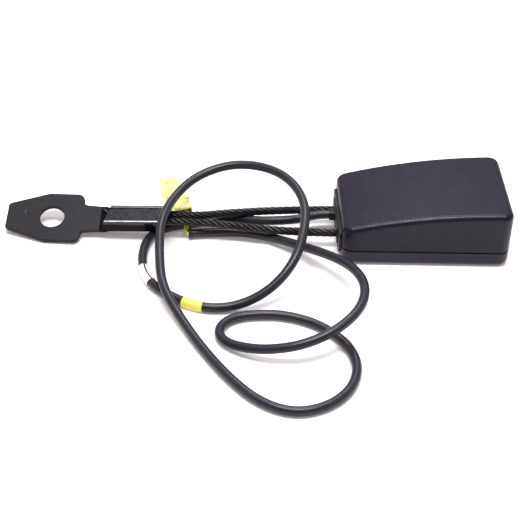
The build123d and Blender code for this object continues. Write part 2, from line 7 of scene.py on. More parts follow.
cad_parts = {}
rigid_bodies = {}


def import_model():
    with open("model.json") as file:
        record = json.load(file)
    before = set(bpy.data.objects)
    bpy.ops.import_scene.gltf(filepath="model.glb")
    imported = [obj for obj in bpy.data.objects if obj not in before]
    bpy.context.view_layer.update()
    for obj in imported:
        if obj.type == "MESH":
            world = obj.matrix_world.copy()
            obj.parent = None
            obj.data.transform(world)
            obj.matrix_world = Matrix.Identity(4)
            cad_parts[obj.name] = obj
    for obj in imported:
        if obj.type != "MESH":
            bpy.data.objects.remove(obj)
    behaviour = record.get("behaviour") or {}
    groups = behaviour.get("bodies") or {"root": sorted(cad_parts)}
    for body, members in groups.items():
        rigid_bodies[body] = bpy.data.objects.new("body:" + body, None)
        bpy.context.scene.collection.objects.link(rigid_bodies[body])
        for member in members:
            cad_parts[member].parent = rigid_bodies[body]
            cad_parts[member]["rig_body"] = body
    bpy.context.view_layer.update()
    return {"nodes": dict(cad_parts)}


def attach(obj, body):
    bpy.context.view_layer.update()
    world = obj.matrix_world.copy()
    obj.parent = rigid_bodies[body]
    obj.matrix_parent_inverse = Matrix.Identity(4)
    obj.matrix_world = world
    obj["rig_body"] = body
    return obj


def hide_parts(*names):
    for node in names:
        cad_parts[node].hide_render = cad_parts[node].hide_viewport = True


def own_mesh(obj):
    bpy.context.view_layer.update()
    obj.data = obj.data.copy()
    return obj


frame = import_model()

MM = 0.001

# Sizes, places and angles are in millimetres and degrees, where nothing else is said. X runs
# from the anchor plate to the casing's mouth, Y to the far side, and Z up.

# Casing
CASING_REAR = 42.4          # its rear wall along X
PARTING_HEIGHT = 8.2        # rim of the lower cover
PARTING_TOLERANCE = 0.15    # how near to it a vertex lies to count as the rim's
PARTING_GAP = 0.4           # how far the rim is lowered, for a visible parting line

# Lead, with its label, tape and end wrap, which start and end at lengths along it
LEAD_RADIUS = 2.35
LABEL_START, LABEL_END, LABEL_THICKNESS = 126.6, 139.4, 0.35
LABEL_SLIT = 102.0          # where the label's long edges meet, round the lead
LABEL_SLIT_HALF = 10
FLAG_STEPS = 40
TAPE_START, TAPE_END, TAPE_THICKNESS = 161.6, 172.0, 0.3
END_WRAP_START, END_WRAP_END, END_WRAP_THICKNESS = 1.7, 0.1, 0.25   # from the sheath's end

# Wires and connector. The connector's own frame has its wire entry at the origin and its
# mouth along X.
WIRE_RADIUS = 0.75
WIRE_SIDE = 0.8             # each wire's distance from the middle of the pair
CONNECTOR_ENTRY = (-37.4, 9.9)
CONNECTOR_TURN = 108.5
SHELL_LENGTH, SHELL_NEAR, SHELL_FAR, SHELL_HIGH, SHELL_CORNER = 31.5, -5.2, 4.3, 9.0, 0.8
MOUTH_DEPTH, MOUTH_SIDE_WALL, MOUTH_FLOOR_WALL = 12.0, 1.2, 1.4
ENTRY_DEPTH, ENTRY_SIDE_WALL, ENTRY_LOW, ENTRY_HIGH = 7.0, 0.8, 2.4, 7.8
GRIP_STARTS, GRIP_WIDTH, GRIP_DEPTH, GRIP_LOW, GRIP_HIGH = (11.5, 14.5, 17.5), 1.5, 0.4, 2.0, 7.0
COLLAR_START, COLLAR_END, COLLAR_NEAR, COLLAR_FAR, COLLAR_HIGH = 8.0, 10.0, -5.8, 4.8, 9.6
GUARD_START, GUARD_WIDTH, GUARD_LOW, GUARD_HIGH = 20.5, 0.6, 8.8, 9.7
GUARD_SIDES = (-3.7, 2.5)
ARM_START, ARM_END, ARM_NEAR, ARM_FAR, ARM_LOW, ARM_HIGH = 10.7, 26.5, -2.4, 1.8, 8.05, 9.5
ARM_GAP = 0.3               # room round the latch arm in its track
TRACK_END, TRACK_FLOOR = 27.6, 8.0
CATCH_START, CATCH_HIGH = 23.5, 10.4
RIB_ROOT = 9.2              # inside the arm, where the catch and the thumb ribs start
THUMB_RIBS = ((11.4, 12.6, 9.9), (13.4, 14.2, 9.8))     # start, end and top
SEAL_RADIUS, SEAL_LENGTH = 1.55, 4.0
SEAL_MIDDLE, SEAL_HEIGHT = 2.6, 5.1
SEAL_SIDES = (-2.2, 1.6)
OVERRUN = 2.0               # how far the connector's cutters run out of its shell

# Anchor plate and sleeve, in the frame of the bolt hole. Low and high are from the plate's
# top face, and near and far are across the plate.
ANCHOR_HOLE = (-0.1064, 0.0045, 0.0070)     # in metres
ANCHOR_YAW, ANCHOR_PITCH, ANCHOR_ROLL = -4.5, -1.2, 19.0
PLATE_THICKNESS = 2.2
BLADE_END = 26.0            # where the flat blade stops and the sleeve's tongue takes over
BLADE_EASE = 0.3
SLEEVE_NEAR, SLEEVE_FAR = -7.2, 4.7
SLEEVE_LOW, SLEEVE_HIGH, SLEEVE_CORNER = -2.5, 6.1, 1.4
SLEEVE_START, SLEEVE_START_LEAN, SLEEVE_START_SKEW = 28.4, 14.0, -16.0
SLEEVE_END = 60.5
BLANK_START, BLANK_END = 22.0, 66.0         # of the sleeve, before its ends are cut
SLEEVE_TURN = 1.8           # about a point near its start, away from the plate's own line
SLEEVE_PIVOT = 28.0
SLEEVE_EASE = 0.22
BORE_NEAR, BORE_FAR, BORE_LOW, BORE_HIGH, BORE_CORNER = -5.2, 3.7, -0.1, 4.4, 2.0
SEAM_NEAR, SEAM_FAR, SEAM_FLOOR = 1.75, 2.15, 5.6
CROWN_RADIUS = 5.6          # round of the sleeve's near upper edge
CROWN_CENTRE = (-4.9, 0.5)
PAST_START, PAST_END, PAST_SIDE = 5.0, 85.0, 12.0       # well past the sleeve all round
CUT_END, CUT_REACH = 90.0, 30.0             # of the cutters that cross the sleeve and the blade
TONGUE_LOW, TONGUE_HIGH = -2.19, -0.01
TONGUE_START, TONGUE_HALF = 25.5, 7.5
NECK_START, NECK_END, NECK_HALF = 27.0, 33.5, 3.6
SHOULDER_X, SHOULDER_SIDE, SHOULDER_RADIUS = 28.0, 3.7, 3.8
CREASE_START, CREASE_END = (27.0, 5.3, 0.7), (31.0, 1.9, 0.7)
CREASE_FACE = (0.0, -0.49, 0.87)            # the way that its flat top looks
CREASE_HALF_LENGTH, CREASE_HALF_WIDTH, CREASE_DEPTH, CREASE_CORNER = 2.9, 0.6, 0.9, 0.2

# Rope
ROPE_DIAMETER = 4.3
ROPE_WIRE_RADIUS = 0.245
ROPE_HEART_RADIUS = 0.85
ROPE_STEP = 1.0             # between the points that its wires follow
STRAND_LAY = 22.0
WIRE_LAY = 13.0
ROPE_LOOP_X = CASING_REAR + 20.0
ROPE_LOOP_HALF = 10.2
ROPE_LOOP_HEIGHT = 7.9

# Button, its places along X measured from the casing's rear wall
BUTTON_HALF = 19.65
BUTTON_LOW = 18.85
BUTTON_HIGH = 26.35
BUTTON_FACE_REAR, BUTTON_FACE_FRONT, BUTTON_FACE_CORNER = 85.4, 87.75, 0.7
THUMB_CENTRE = 88.35
THUMB_REACH = (1.5, 15.0, 3.9)

# Springs, with their places along X measured in the same way
SPRING_COIL_RADIUS = 2.15
SPRING_WIRE_RADIUS = 0.34
SPRING_TURNS = 8
SPRING_TURN_STEPS = 18
SPRING_END_TURN = 0.045     # how much closer the end turns lie
RETURN_REAR, RETURN_LENGTH = 62.05, 19.7
RETURN_SIDE, RETURN_HEIGHT = 8.0, 22.6
EJECT_REAR, EJECT_FRONT, EJECT_HEIGHT = 34.55, 50.55, 7.4

# Angles below which two faces that meet shade as one curve
SMOOTH_ANGLE = 32.0
SLEEVE_SMOOTH_ANGLE = 40.0
TUBE_SMOOTH_ANGLE = 50.0
WIRE_SMOOTH_ANGLE = 60.0

bpy.ops.object.select_all(action="DESELECT")


# ---------------------------------------------------------------- finishes
PATTERN_RANGE = (0.3, 0.7)  # the part of a noise pattern's range that it really fills


def new_finish(name):
    """Material with its shader and the object coordinates that its patterns read."""
    finish = bpy.data.materials.new(name)
    finish.use_nodes = True
    tree = finish.node_tree
    where = tree.nodes.new("ShaderNodeTexCoord").outputs["Object"]
    return finish, tree, tree.nodes["Principled BSDF"], where


def noise(tree, where, size_mm, detail=2.0, stretch=(1.0, 1.0, 1.0)):
    """Noise whose blobs are about size_mm across."""
    mapping = tree.nodes.new("ShaderNodeMapping")
    mapping.inputs["Scale"].default_value = stretch
    tree.links.new(where, mapping.inputs["Vector"])
    node = tree.nodes.new("ShaderNodeTexNoise")
    node.inputs["Scale"].default_value = 1.0 / (size_mm * MM)
    node.inputs["Detail"].default_value = detail
    tree.links.new(mapping.outputs["Vector"], node.inputs["Vector"])
    return node.outputs["Fac"]


def cells(tree, where, size_mm):
    """Rounded cells about size_mm across, as spark-eroded mould grain leaves."""
    node = tree.nodes.new("ShaderNodeTexVoronoi")
    node.feature = "SMOOTH_F1"
    node.inputs["Scale"].default_value = 1.0 / (size_mm * MM)
    tree.links.new(where, node.inputs["Vector"])
    return node.outputs["Distance"]


def blend_colours(tree, shader, amount, dark, light):
    """Base colour between two shades, as a pattern says."""
    ramp = tree.nodes.new("ShaderNodeValToRGB")
    for element, position, shade in zip(ramp.color_ramp.elements, PATTERN_RANGE, (dark, light)):
        element.position = position
        element.color = (*shade, 1.0)
    tree.links.new(amount, ramp.inputs["Fac"])
    tree.links.new(ramp.outputs["Color"], shader.inputs["Base Color"])


def spread_value(tree, value, found, wanted):
    """Takes a value from the range found to the range wanted."""
    spread = tree.nodes.new("ShaderNodeMapRange")
    for name, limit in zip(("From Min", "From Max", "To Min", "To Max"), (*found, *wanted)):
        spread.inputs[name].default_value = limit
    tree.links.new(value, spread.inputs["Value"])
    return spread


def vary_roughness(tree, shader, amount, low, high):
    """Roughness between two values, as a pattern says."""
    spread = spread_value(tree, amount, PATTERN_RANGE, (low, high))
    tree.links.new(spread.outputs["Result"], shader.inputs["Roughness"])


def emboss(tree, shader, height, strength, depth_mm):
    """Fine relief, as a pattern says."""
    bump = tree.nodes.new("ShaderNodeBump")
    bump.inputs["Strength"].default_value = strength
    bump.inputs["Distance"].default_value = depth_mm * MM
    tree.links.new(height, bump.inputs["Height"])
    tree.links.new(bump.outputs["Normal"], shader.inputs["Normal"])


def moulded(name, dark, light, roughness, grain_mm, grain_depth, specular=0.5):
    """Injection moulding with an even spark-eroded grain."""
    finish, tree, shader, where = new_finish(name)
    shader.inputs["Specular IOR Level"].default_value = specular
    blend_colours(tree, shader, noise(tree, where, 9.0, detail=3.0), dark, light)
    vary_roughness(tree, shader, noise(tree, where, 3.0), roughness - 0.04, roughness + 0.05)
    emboss(tree, shader, cells(tree, where, grain_mm), strength=0.6, depth_mm=grain_depth)
    return finish


def metal(name, dark, light, roughness, streak=(1.0, 1.0, 1.0), grain_mm=0.7, depth=0.01):
    """Bare or plated steel with fine marks along its rolling direction."""
    finish, tree, shader, where = new_finish(name)
    shader.inputs["Metallic"].default_value = 1.0
    blend_colours(tree, shader, noise(tree, where, 5.0, detail=4.0), dark, light)
    marks = noise(tree, where, grain_mm, detail=3.0, stretch=streak)
    vary_roughness(tree, shader, marks, roughness - 0.06, roughness + 0.08)
    emboss(tree, shader, marks, strength=0.4, depth_mm=depth)
    return finish


def coated(name, dark, light, roughness, gloss, grain_mm, depth, specular=0.5):
    """Painted or dip-coated part: mottled colour under a thin clear gloss."""
    finish, tree, shader, where = new_finish(name)
    shader.inputs["Specular IOR Level"].default_value = specular
    shader.inputs["Coat Weight"].default_value = gloss
    shader.inputs["Coat Roughness"].default_value = 0.18
    blend_colours(tree, shader, noise(tree, where, 7.0, detail=4.0), dark, light)
    patches = noise(tree, where, 1.6, detail=3.0)
    vary_roughness(tree, shader, patches, roughness - 0.05, roughness + 0.06)
    ripple = noise(tree, where, grain_mm, detail=3.0)
    emboss(tree, shader, ripple, strength=0.35, depth_mm=depth)
    return finish


def dent(finish, spots, depth_mm):
    """Shallow marks struck into a surface, each a centre and a radius in mm and a stretch."""
    tree = finish.node_tree
    shader = tree.nodes["Principled BSDF"]
    where = tree.nodes.new("ShaderNodeTexCoord").outputs["Object"]
    for centre, radius, stretch in spots:
        mapping = tree.nodes.new("ShaderNodeMapping")
        mapping.inputs["Location"].default_value = [-c * k * MM for c, k in zip(centre, stretch)]
        mapping.inputs["Scale"].default_value = stretch
        tree.links.new(where, mapping.inputs["Vector"])
        reach = tree.nodes.new("ShaderNodeVectorMath")
        reach.operation = "LENGTH"
        tree.links.new(mapping.outputs["Vector"], reach.inputs[0])
        bowl = spread_value(tree, reach.outputs["Value"], (0.0, radius * MM), (0.0, 1.0))
        bowl.interpolation_type = "SMOOTHSTEP"
        bump = tree.nodes.new("ShaderNodeBump")
        bump.inputs["Strength"].default_value = 1.0
        bump.inputs["Distance"].default_value = depth_mm * MM
        tree.links.new(bowl.outputs["Result"], bump.inputs["Height"])
        tree.links.new(shader.inputs["Normal"].links[0].from_socket, bump.inputs["Normal"])
        tree.links.new(bump.outputs["Normal"], shader.inputs["Normal"])


def painted_sheen_by_height(finish, low_mm, high_mm, below, above):
    """Paints highlight and shade by height: a strong specular level where the part lies higher
    and a weak one lower down, so its upper edge shines and its side stays dark.
    """
    tree = finish.node_tree
    height = tree.nodes.new("ShaderNodeSeparateXYZ")
    tree.links.new(tree.nodes.new("ShaderNodeTexCoord").outputs["Object"], height.inputs[0])
    gloss = spread_value(tree, height.outputs["Z"], (low_mm * MM, high_mm * MM), (below, above))
    tree.links.new(gloss.outputs["Result"],
                   tree.nodes["Principled BSDF"].inputs["Specular IOR Level"])


casing_plastic = moulded("casing_plastic", (0.009, 0.0075, 0.0185), (0.012, 0.0105, 0.0245),
                         roughness=0.36, grain_mm=0.62, grain_depth=0.09, specular=0.4)
# Painted light: the lower cover is the same black plastic as the upper cover, given a lighter,
# bluer base colour for the light that falls on its side.
lower_cover_painted_light = moulded("lower_cover_painted_light", (0.020, 0.017, 0.034), (0.024, 0.021, 0.041),
                       roughness=0.36, grain_mm=0.62, grain_depth=0.07, specular=0.42)
bush_rubber = moulded("bush_rubber", (0.010, 0.009, 0.012), (0.015, 0.014, 0.018),
                      roughness=0.5, grain_mm=0.5, grain_depth=0.03)
lead_plastic = coated("lead_plastic", (0.022, 0.022, 0.031), (0.028, 0.028, 0.038),
                      roughness=0.34, gloss=0.0, grain_mm=1.2, depth=0.004)
plate_coating = coated("plate_coating", (0.014, 0.013, 0.016), (0.018, 0.016, 0.020),
                       roughness=0.42, gloss=0.0, grain_mm=1.6, depth=0.001, specular=0.3)
plate_marks = [((-119.8, 7.8, 7.5), 1.5, (1, 1, 1)), ((-91.2, 7.2, 8.7), 1.5, (1, 3.2, 1)),
               ((-92.2, 2.8, 7.1), 1.7, (2.6, 1.2, 1))]
dent(plate_coating, plate_marks, depth_mm=0.2)
# Painted shade and highlight: the sleeve has the plate's own coating, made darker here for the
# shade on its side, with a painted highlight along its upper edge set by height.
sleeve_shade_and_highlight = coated("sleeve_shade_and_highlight", (0.006, 0.005, 0.009), (0.009, 0.008, 0.012),
                        roughness=0.2, gloss=0.0, grain_mm=3.0, depth=0.001)
painted_sheen_by_height(sleeve_shade_and_highlight, low_mm=9.5, high_mm=10.3, below=0.08, above=0.8)
rope_coating = coated("rope_coating", (0.005, 0.004, 0.006), (0.010, 0.009, 0.012),
                      roughness=0.34, gloss=0.3, grain_mm=0.5, depth=0.02)
button_plastic = moulded("button_plastic", (0.42, 0.012, 0.010), (0.50, 0.018, 0.014),
                         roughness=0.36, grain_mm=0.8, grain_depth=0.02)
guide_plastic = moulded("guide_plastic", (0.016, 0.015, 0.018), (0.022, 0.021, 0.025),
                        roughness=0.5, grain_mm=0.6, grain_depth=0.02)
ejector_plastic = moulded("ejector_plastic", (0.62, 0.60, 0.54), (0.70, 0.68, 0.61),
                          roughness=0.4, grain_mm=0.8, grain_depth=0.02)
switch_plastic = moulded("switch_plastic", (0.05, 0.05, 0.055), (0.07, 0.07, 0.075),
                         roughness=0.4, grain_mm=0.6, grain_depth=0.02)
label_paper = moulded("label_paper", (0.80, 0.79, 0.77), (0.88, 0.87, 0.85),
                      roughness=0.6, grain_mm=0.3, grain_depth=0.01)
yellow_tape_film = moulded("yellow_tape_film", (0.90, 0.86, 0.16), (0.95, 0.92, 0.24),
                           roughness=0.35, grain_mm=1.2, grain_depth=0.03)
connector_plastic = moulded("connector_plastic", (0.93, 0.91, 0.35), (0.96, 0.95, 0.43),
                            roughness=0.35, grain_mm=0.9, grain_depth=0.015)
wire_plastic = moulded("wire_plastic", (0.86, 0.80, 0.10), (0.90, 0.85, 0.16),
                       roughness=0.35, grain_mm=0.6, grain_depth=0.01)
seal_rubber = moulded("seal_rubber", (0.45, 0.44, 0.40), (0.52, 0.51, 0.47),
                      roughness=0.5, grain_mm=0.6, grain_depth=0.01)
frame_steel = metal("frame_steel", (0.56, 0.56, 0.55), (0.68, 0.68, 0.66),
                    roughness=0.34, streak=(0.15, 1.0, 1.0))
pin_steel = metal("pin_steel", (0.50, 0.50, 0.52), (0.64, 0.64, 0.66),
                  roughness=0.26, streak=(1.0, 0.15, 1.0))
spring_steel = metal("spring_steel", (0.42, 0.42, 0.44), (0.55, 0.55, 0.57), roughness=0.3)
contact_tin = metal("contact_tin", (0.70, 0.69, 0.66), (0.80, 0.79, 0.76), roughness=0.25)


# ---------------------------------------------------------------- making pieces
def pick(piece):
    """Selects one piece and nothing else."""
    bpy.ops.object.select_all(action="DESELECT")
    piece.select_set(True)
    bpy.context.view_layer.objects.active = piece


def mend_shading(piece, angle=SMOOTH_ANGLE):
    """Welds a mesh, turns its faces outwards and smooths the curved ones."""
    pick(piece)
    bpy.ops.mesh.customdata_custom_splitnormals_clear()
    bpy.ops.object.mode_set(mode="EDIT")
    bpy.ops.mesh.select_all(action="SELECT")
    bpy.ops.mesh.remove_doubles(threshold=1e-6)
    bpy.ops.mesh.normals_make_consistent(inside=False)
    bpy.ops.object.mode_set(mode="OBJECT")
    bpy.ops.object.shade_smooth_by_angle(angle=math.radians(angle))


def fit(piece, body, finish, slot, *nodes):
    """Gives a piece its finish and its body, and hides the CAD nodes it stands for. The slot is
    not used.
    """
    piece.data.materials.clear()
    piece.data.materials.append(finish)
    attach(piece, body)
    if nodes:
        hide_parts(*nodes)


def ease_edges(piece, width_mm, angle=SMOOTH_ANGLE):
    """Small rounds on the sharp edges of a piece, which catch the light."""
    pick(piece)
    bpy.ops.object.mode_set(mode="EDIT")
    bpy.ops.mesh.select_all(action="SELECT")
    bpy.ops.mesh.dissolve_limited(angle_limit=math.radians(0.4))
    bpy.ops.object.mode_set(mode="OBJECT")
    ease = piece.modifiers.new("ease", "BEVEL")
    ease.width = width_mm * MM
    ease.segments = 2
    ease.limit_method = "ANGLE"
    ease.angle_limit = math.radians(angle)
    even = piece.modifiers.new("even", "WEIGHTED_NORMAL")
    even.keep_sharp = True
    bpy.ops.object.shade_smooth_by_angle(angle=math.radians(angle))
    apply_all(piece)


def welded_copy(node, name, finish, slot, ease_mm=0.0):
    """Smooth-shaded copy of a CAD node, its sharp edges eased."""
    source = frame["nodes"][node]
    piece = bpy.data.objects.new(name, source.data.copy())
    bpy.context.scene.collection.objects.link(piece)
    mend_shading(piece)
    if ease_mm:
        ease_edges(piece, ease_mm)
    fit(piece, source["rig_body"], finish, slot, node)
    return piece


def route_curve(name, points, radius, sides=6, steps=6):
    """Smooth curve through the pull of its control points, in millimetres, as a round lead."""
    data = bpy.data.curves.new(name, "CURVE")
    data.dimensions = "3D"
    line = data.splines.new("NURBS")
    line.points.add(len(points) - 1)
    for point, spot in zip(line.points, points):
        point.co = (spot[0] * MM, spot[1] * MM, spot[2] * MM, 1.0)
    line.order_u = 3
    line.use_endpoint_u = True
    line.resolution_u = steps
    data.bevel_depth = radius * MM
    data.bevel_resolution = sides
    data.use_fill_caps = radius > 0
    curve = bpy.data.objects.new(name, data)
    bpy.context.scene.collection.objects.link(curve)
    return curve


def read_line(curve):
    """Points along a curve, read with its bevel off."""
    depth, shape = curve.data.bevel_depth, curve.data.bevel_object
    curve.data.bevel_depth, curve.data.bevel_object = 0.0, None
    bpy.context.view_layer.update()
    mesh = bpy.data.meshes.new_from_object(curve)
    points = [v.co.copy() for v in mesh.vertices]
    bpy.data.meshes.remove(mesh)
    curve.data.bevel_depth, curve.data.bevel_object = depth, shape
    bpy.context.view_layer.update()
    return points


def walk(points, step):
    """Points at an even step along a line."""
    spots, left, here = [points[0].copy()], step, points[0].copy()
    for target in points[1:]:
        run = (target - here).length
        while run >= left:
            here = here + (target - here).normalized() * left
            spots.append(here.copy())
            run = (target - here).length
            left = step
        left -= run
        here = target.copy()
    return spots


def cut_line(points, start, end):
    """The part of a line between two lengths along it."""
    kept, gone = [], 0.0
    for a, b in zip(points, points[1:]):
        run = (b - a).length
        if gone + run > start and gone < end:
            first = a.lerp(b, max(0.0, (start - gone) / run))
            last = a.lerp(b, min(1.0, (end - gone) / run))
            if not kept:
                kept.append(first)
            kept.append(last)
        gone += run
    return kept


def line_frames(points):
    """Two directions square to a line at each of its points, without twist along it."""
    frames = []
    side = None
    for i, here in enumerate(points):
        before = points[max(0, i - 1)]
        after = points[min(len(points) - 1, i + 1)]
        along = (after - before).normalized()
        if side is None:
            side = along.cross(Vector((0, 0, 1))).normalized()
        side = (side - along * side.dot(along)).normalized()
        frames.append((side, along.cross(side)))
    return frames


def poly_curve(name, lines, radius, sides):
    """Several runs of wire in one curve object."""
    data = bpy.data.curves.new(name, "CURVE")
    data.dimensions = "3D"
    for line in lines:
        run = data.splines.new("POLY")
        run.points.add(len(line) - 1)
        for point, spot in zip(run.points, line):
            point.co = (*spot, 1.0)
    data.bevel_depth = radius * MM
    data.bevel_resolution = sides
    data.use_fill_caps = True
    curve = bpy.data.objects.new(name, data)
    bpy.context.scene.collection.objects.link(curve)
    return curve


def smooth_run(points, step_mm=0.6):
    """Rounds a run of control points in millimetres into evenly spaced points."""
    curve = route_curve("run", points, 0.0, sides=3, steps=8)
    line = walk(read_line(curve), step_mm * MM)
    bpy.data.objects.remove(curve)
    return line


def to_mesh(curve, angle=TUBE_SMOOTH_ANGLE):
    """Turns a curve into a mesh object with smooth sides."""
    pick(curve)
    bpy.ops.object.convert(target="MESH")
    piece = bpy.context.view_layer.objects.active
    mend_shading(piece, angle)
    return piece


def apply_all(piece):
    """Applies every modifier of a piece, in order."""
    pick(piece)
    for modifier in list(piece.modifiers):
        bpy.ops.object.modifier_apply(modifier=modifier.name)


def block(x0, x1, y0, y1, z0, z1, bevel=0.0):
    """Box between limits in millimetres, its edges rounded by bevel."""
    bpy.ops.object.select_all(action="DESELECT")
    bpy.ops.mesh.primitive_cube_add(size=1.0)
    piece = bpy.context.view_layer.objects.active
    size = Matrix.Diagonal(((x1 - x0) * MM, (y1 - y0) * MM, (z1 - z0) * MM, 1.0))
    middle = Vector((x0 + x1, y0 + y1, z0 + z1)) * MM / 2
    piece.data.transform(Matrix.Translation(middle) @ size)
    if bevel:
        ease = piece.modifiers.new("ease", "BEVEL")
        ease.width = bevel * MM
        ease.segments = 3
        apply_all(piece)
    return piece


def combine(piece, others, operation):
    """Joins, cuts or crops a piece with others, which are used up."""
    for other in others:
        step = piece.modifiers.new("step", "BOOLEAN")
        step.operation = operation
        step.object = other
        apply_all(piece)
        bpy.data.objects.remove(other)
    return piece


def name_piece(piece, name, place=None, angle=SMOOTH_ANGLE):
    """Names a finished piece and moves it from its own frame to its place."""
    piece.name = name
    piece.data.name = name
    if place is not None:
        piece.data.transform(place)
    mend_shading(piece, angle)
    return piece


def rod(radius, length, vertices):
    """Upright cylinder about the origin, in millimetres."""
    bpy.ops.object.select_all(action="DESELECT")
    bpy.ops.mesh.primitive_cylinder_add(vertices=vertices, radius=radius * MM, depth=length * MM)
    return bpy.context.view_layer.objects.active


def shifted(x, y, z):
    """Matrix that moves by millimetres."""
    return Matrix.Translation(Vector((x, y, z)) * MM)


def turned(degrees, axis):
    """Matrix that turns about an axis through the origin."""
    return Matrix.Rotation(math.radians(degrees), 4, axis)


def from_rear(x):
    """A place along X measured from the casing's rear wall, in millimetres."""
    return CASING_REAR + x


# ---------------------------------------------------------------- camera
CAMERA_PLACE = (-0.01769, -0.55362, 0.41190)    # in metres, as the aim is
CAMERA_AIM = (0.0021, -0.0372, 0.0108)
CAMERA_ROLL = 0.026                             # in radians

camera_data = bpy.data.cameras.new("studio_camera")
camera_data.lens = 90.29
camera_data.sensor_width = 36.0
camera = bpy.data.objects.new("studio_camera", camera_data)
bpy.context.scene.collection.objects.link(camera)
camera.location = CAMERA_PLACE
look = Vector(CAMERA_AIM) - camera.location
turn = look.to_track_quat("-Z", "Y").to_matrix() @ Matrix.Rotation(CAMERA_ROLL, 3, "Z")
camera.rotation_euler = turn.to_euler()
bpy.context.scene.camera = camera

# ---------------------------------------------------------------- switch lead
# Its route, from inside the rear bush, under the ropes, round the loops and back towards the
# connector
lead_points = [
    (39.5, 4.6, 9.0), (33.0, 4.6, 9.0), (24.0, 0.8, 8.7), (14.0, 0.2, 8.1), (2.0, 2.0, 6.5),
    (-13.0, 8.0, 4.3), (-26.0, 6.2, 2.6), (-36.0, 4.6, 2.2), (-46.0, 2.0, 2.2),
    (-54.0, -5.0, 2.4), (-57.0, -13.5, 2.4),
    (-58.0, -27.5, 2.5), (-54.8, -43.0, 2.5), (-43.0, -55.5, 2.4), (-27.0, -65.0, 2.4),
    (-9.5, -64.0, 2.5), (7.0, -59.5, 9.5), (19.0, -48.5, 18.5), (24.5, -30.5, 25.0),
    (25.5, -10.0, 28.0), (18.0, 8.5, 29.5), (4.5, 22.0, 28.0), (-13.0, 26.5, 26.0),
    (-30.5, 20.5, 22.5), (-42.0, 6.0, 19.5), (-48.5, -13.5, 18.0), (-48.5, -34.5, 12.5),
    (-46.5, -54.5, 8.0), (-37.0, -73.5, 3.5), (-26.0, -94.5, 2.2), (-13.5, -115.0, 2.5),
    (0.0, -130.5, 2.2), (15.5, -137.5, 2.2), (31.5, -133.0, 2.2), (43.0, -121.0, 2.2),
    (47.0, -104.5, 2.2), (41.5, -88.5, 2.2), (28.5, -75.5, 2.2), (13.0, -69.5, 2.2),
    (1.0, -69.3, 2.2), (-8.0, -70.5, 2.2), (-15.5, -74.5, 2.2), (-19.0, -82.0, 2.2),
    (-16.0, -89.8, 2.8), (-8.0, -95.3, 4.0), (4.0, -100.0, 6.5), (20.0, -101.5, 10.5),
    (36.0, -95.5, 14.0), (49.0, -82.0, 16.5), (53.0, -65.0, 16.5), (48.5, -47.0, 14.0),
    (37.0, -31.5, 10.0), (23.0, -18.0, 5.5), (8.5, -7.5, 3.0), (-6.0, -2.0, 2.2),
    (-20.0, -2.5, 2.2), (-34.4, -4.0, 2.6),
]
switch_lead = route_curve("switch_lead", lead_points, LEAD_RADIUS)
lead_line = read_line(switch_lead)
lead_length = sum((b - a).length for a, b in zip(lead_line, lead_line[1:]))
fit(switch_lead, "buckle", lead_plastic, "black_sheath", "switch_cable")


def finish_band(band, thickness, finish, slot, node):
    """Gives a band on the lead its wall, inwards from its outer face, and its finish."""
    band = to_mesh(band)
    wall = band.modifiers.new("wall", "SOLIDIFY")
    wall.thickness = thickness * MM
    wall.offset = -1.0
    apply_all(band)
    fit(band, "buckle", finish, slot, node)
    return band


def lead_band(name, start_mm, end_mm, thickness, finish, slot, node):
    """Tape wound round the lead between two lengths along it."""
    line = cut_line(lead_line, start_mm * MM, end_mm * MM)
    band = poly_curve(name, [line], LEAD_RADIUS + thickness, sides=8)
    band.data.use_fill_caps = False
    return finish_band(band, thickness, finish, slot, node)


def lead_flag(name, start_mm, end_mm, thickness, opening, finish, slot, node):
    """Label bent round the lead, its long edges apart at the two angles of the opening."""
    profile = []
    sweep = 360 + opening[0] - opening[1]
    for k in range(FLAG_STEPS + 1):
        angle = math.radians(opening[1] + sweep * k / FLAG_STEPS)
        reach = (LEAD_RADIUS + thickness) * MM
        profile.append(Vector((math.cos(angle), math.sin(angle), 0)) * reach)
    section = poly_curve(name + "_section", [profile], 0.0, sides=0)
    line = cut_line(lead_line, start_mm * MM, end_mm * MM)
    flag = poly_curve(name, [line], 0.0, sides=0)
    flag.data.use_fill_caps = False
    flag.data.bevel_mode = "OBJECT"
    flag.data.bevel_object = section
    flag = finish_band(flag, thickness, finish, slot, node)
    bpy.data.objects.remove(section)
    return flag


label = lead_flag("lead_label", LABEL_START, LABEL_END, LABEL_THICKNESS,
                  (LABEL_SLIT - LABEL_SLIT_HALF, LABEL_SLIT + LABEL_SLIT_HALF), label_paper,
                  "white_label", "label_band")
tape = lead_band("lead_tape", TAPE_START, TAPE_END, TAPE_THICKNESS, yellow_tape_film,
                 "yellow_tape", "tape_band")
end_wrap = lead_band("lead_end_tape", lead_length / MM - END_WRAP_START,
                     lead_length / MM - END_WRAP_END, END_WRAP_THICKNESS, lead_plastic,
                     "black_sheath", "end_tape")

# ---------------------------------------------------------------- wires and connector
def wire_route(offset):
    """Route of one wire from the sheath's end to the connector, offset from the pair's middle."""
    return [(-33.0, -3.9 + offset * 0.5, 2.6), (-34.7, -3.8 + offset * 0.6, 2.8),
            (-35.5 + offset * 0.5, -2.6 + offset * 0.5, 3.8),
            (-35.8 + offset * 0.8, -0.2, 5.2),
            (-36.0 + offset, 3.0, 5.7), (-36.0 + offset, 5.6, 5.7),
            (-37.2 + offset, 9.3, 5.7), (-38.0 + offset, 11.8, 5.7)]


wire_runs = [smooth_run(wire_route(offset)) for offset in (-WIRE_SIDE, WIRE_SIDE)]
pigtail = to_mesh(poly_curve("pigtail_wires", wire_runs, WIRE_RADIUS, sides=3))
fit(pigtail, "buckle", wire_plastic, "wire_sheath", "wire_pigtail")

